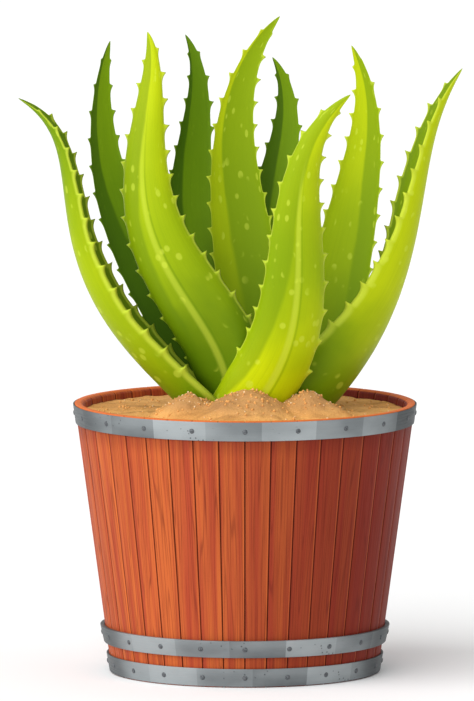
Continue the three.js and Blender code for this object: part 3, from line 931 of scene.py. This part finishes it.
def tooth_shape(t, teeth, offset):
    """Height of the teeth at t, from 0 to 1: a scallop, phase^6, up to each point and a quick fall
    behind it, so each tooth hooks to the tip."""
    pitch = (TOOTH_END - TOOTH_START) / teeth
    phase = ((t - TOOTH_START) / pitch + offset) % 1.0
    rise = np.clip(phase / TOOTH_CREST, 0, 1) ** 6
    fall = np.clip((TOOTH_FOOT - phase) / (TOOTH_FOOT - TOOTH_CREST), 0, 1) ** 1.6
    height = np.where(phase < TOOTH_CREST, rise, fall)
    start = smoothstep(t, TOOTH_START, TOOTH_START + 0.03)
    return height * start * (1 - smoothstep(t, TOOTH_END - 0.02, TOOTH_END + 0.01))


def leaf_mesh(leaf, sizes, seed):
    """Sweeps a crescent between two half ellipses along the leaf's line, margin to margin and back.

    At an angle a from the middle the back is at (h sin a, -keel h cos a) and the hollow face at
    (h sin a, -channel h cos a), h being the half width, and both are set apart at the margins by
    the edge's thickness times sqrt(cos a). Teeth push the margins out and forward, and the deeper
    the hollow, the more they lean over it.
    """
    t = np.linspace(0, 1, STATIONS_PER_TOOTH * (leaf.teeth + 3) + 1)[:-1]
    half = leaf_half_width(leaf.width, t)
    along, normal, across = leaf_directions(leaf.places, t, leaf.face)
    round_back, over_face = np.linspace(90, -90, BACK_POINTS), np.linspace(-90, 90, FACE_POINTS)
    bow = np.radians(np.concatenate([round_back, over_face[1:-1]]))
    back = np.arange(len(bow)) < BACK_POINTS
    sine, cosine = np.sin(bow), np.cos(bow)
    thin = np.minimum(sizes.edge, 0.10 * half)[:, None]
    apart = np.where(back, -1.0, 1.0) * np.sqrt(np.clip(cosine, 0, 1)) * thin
    drop = apart - np.where(back, leaf.keel, leaf.channel) * cosine * half[:, None]

    right = tooth_shape(t, leaf.teeth, 0.0)
    left = tooth_shape(t, leaf.teeth, 0.37 + 0.1 * seed)
    size = sizes.tooth * leaf.width / FULL_WIDTH * np.minimum(1, half / TOOTH_FULL + 0.15)
    edge_on = np.clip((np.abs(sine) - 0.93) / 0.07, 0, 1) ** 3
    tooth = np.where(sine > 0, right[:, None], left[:, None]) * size[:, None] * edge_on
    lift = min(1.0, 2.1 * leaf.channel - 0.05)
    out = sine * half[:, None] + np.sign(sine) * tooth * math.sqrt(1 - lift ** 2)

    phase = np.random.default_rng(SEED + seed).uniform(0, 6)
    waver = LEAF_WAVER * np.sin(t * 31 + phase)[:, None] * (half / half.max())[:, None]
    drop = drop + waver * np.abs(sine) ** 3 + tooth * lift
    centre = leaf_line(leaf.places, t)[:, None]
    rings = centre + across[:, None] * out[..., None] + normal[:, None] * drop[..., None]
    rings = rings + along[:, None] * (TOOTH_SWEEP * tooth)[..., None]
    place = np.concatenate([np.linspace(0, 1, BACK_POINTS), np.linspace(1, 2, FACE_POINTS)[1:]])
    table = np.stack(np.broadcast_arrays(place[None], t[:, None]), -1)
    foot = centre[0, 0] - normal[0] * (leaf.keel + leaf.channel) / 2 * half[0]
    tip = leaf_line(leaf.places, np.array([1.0]))[0]
    return sweep(rings, table, [foot, tip])


# ---- stage ---------------------------------------------------------------------------------------
SUN_PLACE = (-1.45, -1.4, 1.25)
SUN_POWER = 3.1
SUN_SPREAD = math.radians(80)
WORLD_LIGHT = 0.66
CAMERA_LENS = 800
CAMERA_SENSOR = 36
CAMERA_REACH = 200
CAMERA_AIM = Vector((-0.0083, 0, 0.3386))
FLOOR_REACH = 30.0


def add_sun():
    """A broad soft sun from the upper left of the front."""
    data = bpy.data.lights.new("key", "SUN")
    data.energy = SUN_POWER
    data.angle = SUN_SPREAD
    light = bpy.data.objects.new("key", data)
    light.location = SUN_PLACE
    light.rotation_euler = Vector(SUN_PLACE).to_track_quat("Z", "Y").to_euler()
    bpy.context.scene.collection.objects.link(light)


def add_world(scene):
    """Even white light from all round."""
    world = bpy.data.worlds.new("studio")
    world.use_nodes = True
    background = world.node_tree.nodes["Background"]
    background.inputs["Color"].default_value = (1, 1, 1, 1)
    background.inputs["Strength"].default_value = WORLD_LIGHT
    scene.world = world
    scene.view_settings.view_transform = "Standard"


def add_camera(stage):
    """A long lens at the given elevation, looking along +Y at the middle of the upright plant."""
    data = bpy.data.cameras.new("camera")
    data.lens = CAMERA_LENS
    data.sensor_width = CAMERA_SENSOR
    data.clip_end = CAMERA_REACH
    back = Vector((0, -math.cos(stage.elevation), math.sin(stage.elevation)))
    camera = bpy.data.objects.new("camera", data)
    camera.location = CAMERA_AIM + back * stage.distance
    camera.rotation_euler = (-back).to_track_quat("-Z", "Y").to_euler()
    bpy.context.scene.collection.objects.link(camera)
    bpy.context.scene.camera = camera


def add_floor(stage):
    """A broad plain square at the height that the tub stands on."""
    points = np.array([(-1, -1, 0), (1, -1, 0), (1, 1, 0), (-1, 1, 0)], float) * FLOOR_REACH
    mesh = bpy.data.meshes.new("floor")
    mesh.from_pydata(points.tolist(), [], [(0, 1, 2, 3)])
    paint = Finish("floor_paint")
    x, y = paint.place()[:2]
    cloud = paint.noise(paint.at(x, y), 3.0, 2.0)
    body = paint.mix(cloud, tuple(stage.floor), shaded(stage.floor, 0.97))
    mesh.materials.append(paint.finish(Base_Color=body, Roughness=0.85))
    floor = bpy.data.objects.new("floor", mesh)
    bpy.context.scene.collection.objects.link(floor)


# ---- operators -----------------------------------------------------------------------------------
class ALOE_OT_stage(bpy.types.Operator):
    """Adds the floor, the lights and the camera"""

    bl_idname = "aloe.stage"
    bl_label = "Stage"

    def execute(self, context):
        add_floor(context.scene.aloe_stage)
        add_camera(context.scene.aloe_stage)
        add_sun()
        add_world(context.scene)
        return {"FINISHED"}


class ALOE_OT_staves(bpy.types.Operator):
    """Builds the eased, grained staves"""

    bl_idname = "aloe.staves"
    bl_label = "Staves"

    def execute(self, context):
        tub = context.scene.aloe_tub
        colours = [tuple(shade) for shade in (tub.pale, tub.deep, tub.red, tub.dark)]
        wood = wood_finish("stave_wood", *colours)
        outline = stave_outline(tub)
        normals = outward(outline)
        random = np.random.default_rng(SEED)
        for index, node in enumerate(STAVES):
            mesh = stave_mesh(tub, index, outline, normals, random)
            add_piece(f"{node}_board", *mesh, wood, "stave_wood", [node])
        return {"FINISHED"}


class ALOE_OT_base_boards(bpy.types.Operator):
    """Gives the base boards their wood"""

    bl_idname = "aloe.base_boards"
    bl_label = "Base boards"

    def execute(self, context):
        wood = board_finish("board_wood")
        for node in BOARDS:
            dress(node, wood)
        return {"FINISHED"}


class ALOE_OT_hoops(bpy.types.Operator):
    """Builds the straps and their rivets"""

    bl_idname = "aloe.hoops"
    bl_label = "Hoops"

    def execute(self, context):
        hoop, wall = context.scene.aloe_hoop, context.scene.aloe_tub.thickness
        strap = iron_finish("hoop_iron", tuple(hoop.pale), tuple(hoop.deep))
        head = rivet_finish("rivet_iron")
        for seed, (node, thickness) in enumerate(HOOP_THICKNESS.items()):
            outline, corners = hoop_outline(node, thickness, wall)
            add_piece(f"{node}_strap", *hoop_mesh(outline, seed), strap, "hoop_iron", [node])
            add_piece(f"{node}_rivets", *rivet_mesh(hoop, corners), head, "hoop_iron")
        return {"FINISHED"}


class ALOE_OT_soil(bpy.types.Operator):
    """Builds the soil, its crumbs and its granules"""

    bl_idname = "aloe.soil"
    bl_label = "Soil"

    def execute(self, context):
        soil, thickness = context.scene.aloe_soil, context.scene.aloe_tub.thickness
        pale, mid, deep = tuple(soil.pale), tuple(soil.mid), tuple(soil.deep)
        bed = soil_mesh(soil, lambda height: wall_radius(height, thickness) - thickness)
        add_piece("soil_bed", *bed, soil_finish("soil_earth", pale, mid, deep), "soil", ["soil"])
        crumbs = crumb_mesh(soil, soil.crumbs, 0.7, 1.9, SEED + 3, 0.5)
        add_piece("soil_crumbs", *crumbs, crumb_finish("crumb", pale, mid), "soil")
        granules = crumb_mesh(soil, soil.granules, 0.6, 1.3, SEED + 4, 0.6)
        grit = crumb_finish("granule", (0.90, 0.70, 0.45), (0.72, 0.46, 0.24))
        add_piece("soil_granules", *granules, grit, "soil")
        return {"FINISHED"}


class ALOE_OT_stem(bpy.types.Operator):
    """Gives the stem its skin"""

    bl_idname = "aloe.stem"
    bl_label = "Stem"

    def execute(self, context):
        dress("stem", stem_finish("stem_skin"))
        return {"FINISHED"}


class ALOE_OT_leaves(bpy.types.Operator):
    """Builds the toothed leaves"""

    bl_idname = "aloe.leaves"
    bl_label = "Leaves"

    def execute(self, context):
        sizes = context.scene.aloe_leaf
        for seed, leaf in enumerate(LEAVES):
            # painted shade: the back leaves get darker margins and fainter flecks
            dark = leaf.slot == "leaf_dark"
            edge, share_shown = (SHADE_EDGE, 0.3) if dark else (PALE, 1)
            skin = leaf_finish(f"{leaf.name}_skin", leaf.looks, edge, sizes.flecks * share_shown)
            mesh = leaf_mesh(leaf, sizes, seed)
            add_piece(f"{leaf.name}_blade", *mesh, skin, leaf.slot, [leaf.name])
        return {"FINISHED"}


class ALOE_PT_panel(bpy.types.Panel):
    """The potted aloe's pieces and sizes"""

    bl_idname = "ALOE_PT_panel"
    bl_label = "Potted aloe"
    bl_space_type = "VIEW_3D"
    bl_region_type = "UI"
    bl_category = "Aloe"

    def draw(self, context):
        for name, group in SETTINGS.items():
            box = self.layout.box()
            for key in group.__annotations__:
                box.prop(getattr(context.scene, name), key)
        for operator in OPERATORS:
            self.layout.operator(operator.bl_idname)


OPERATORS = [
    ALOE_OT_stage,
    ALOE_OT_staves,
    ALOE_OT_base_boards,
    ALOE_OT_hoops,
    ALOE_OT_soil,
    ALOE_OT_stem,
    ALOE_OT_leaves,
]
CLASSES = [*SETTINGS.values(), *OPERATORS, ALOE_PT_panel]


def register():
    for cls in CLASSES:
        bpy.utils.register_class(cls)
    for name, group in SETTINGS.items():
        setattr(bpy.types.Scene, name, bpy.props.PointerProperty(type=group))


def unregister():
    for name in SETTINGS:
        delattr(bpy.types.Scene, name)
    for cls in reversed(CLASSES):
        bpy.utils.unregister_class(cls)


def main():
    register()
    bpy.ops.aloe.stage()
    bpy.ops.aloe.staves()
    bpy.ops.aloe.base_boards()
    bpy.ops.aloe.hoops()
    bpy.ops.aloe.soil()
    bpy.ops.aloe.stem()
    bpy.ops.aloe.leaves()


if __name__ == "__main__":
    main()
